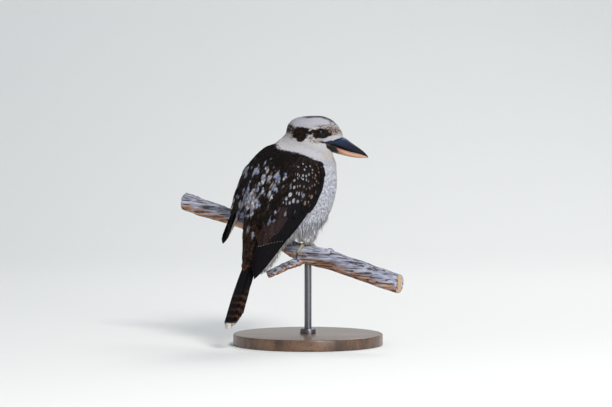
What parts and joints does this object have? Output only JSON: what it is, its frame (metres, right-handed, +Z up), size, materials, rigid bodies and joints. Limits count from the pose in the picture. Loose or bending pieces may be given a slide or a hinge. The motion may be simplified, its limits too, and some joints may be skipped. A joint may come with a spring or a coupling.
{
  "type": "laughing kookaburra display model",
  "caption": "Life-size still model of a laughing kookaburra perched on a cut branch, held by a round base and a short rod.",
  "frame": {"origin": "centre of the round base's underside, on the rod's middle line", "axes": "+Z up; +X to the right as the picture's camera sees the bird, +Y away from that camera"},
  "size_m": [0.3158, 0.226, 0.321],
  "materials": {
    "white_plumage": "soft white and cream feathers, blackish brown on the mantle",
    "dark_plumage": "blackish brown wing feathers with pale blue and white spots",
    "barred_tail": "tail feathers barred rufous and black with white tips",
    "bill_black": "blue-black horn, satin",
    "bill_horn": "horn-pink keratin, satin",
    "eye_brown": "dark brown glass eye, glossy",
    "foot_skin": "scaly olive-grey skin",
    "claw_black": "dark horn claws",
    "weathered_wood": "grey furrowed dead branch, orange-brown below",
    "stand_wood": "dark varnished hardwood",
    "stand_steel": "dark blued steel"
  },
  "bodies": {
    "root": {"head": "white_plumage", "neck": "white_plumage", "torso": "white_plumage", "bill_upper": "bill_black", "bill_lower": "bill_horn", "eye_left": "eye_brown", "eye_right": "eye_brown", "wing_left": "dark_plumage", "wing_right": "dark_plumage", "tail": "barred_tail", "leg_left": "white_plumage", "leg_right": "white_plumage", "foot_left": "foot_skin", "foot_right": "foot_skin", "claw_left_1": "claw_black", "claw_left_2": "claw_black", "claw_left_3": "claw_black", "claw_left_4": "claw_black", "claw_right_1": "claw_black", "claw_right_2": "claw_black", "claw_right_3": "claw_black", "claw_right_4": "claw_black", "perch_branch": "weathered_wood", "stand_base": "stand_wood", "stand_collar": "stand_steel", "stand_rod": "stand_steel"}
  },
  "joints": []
}
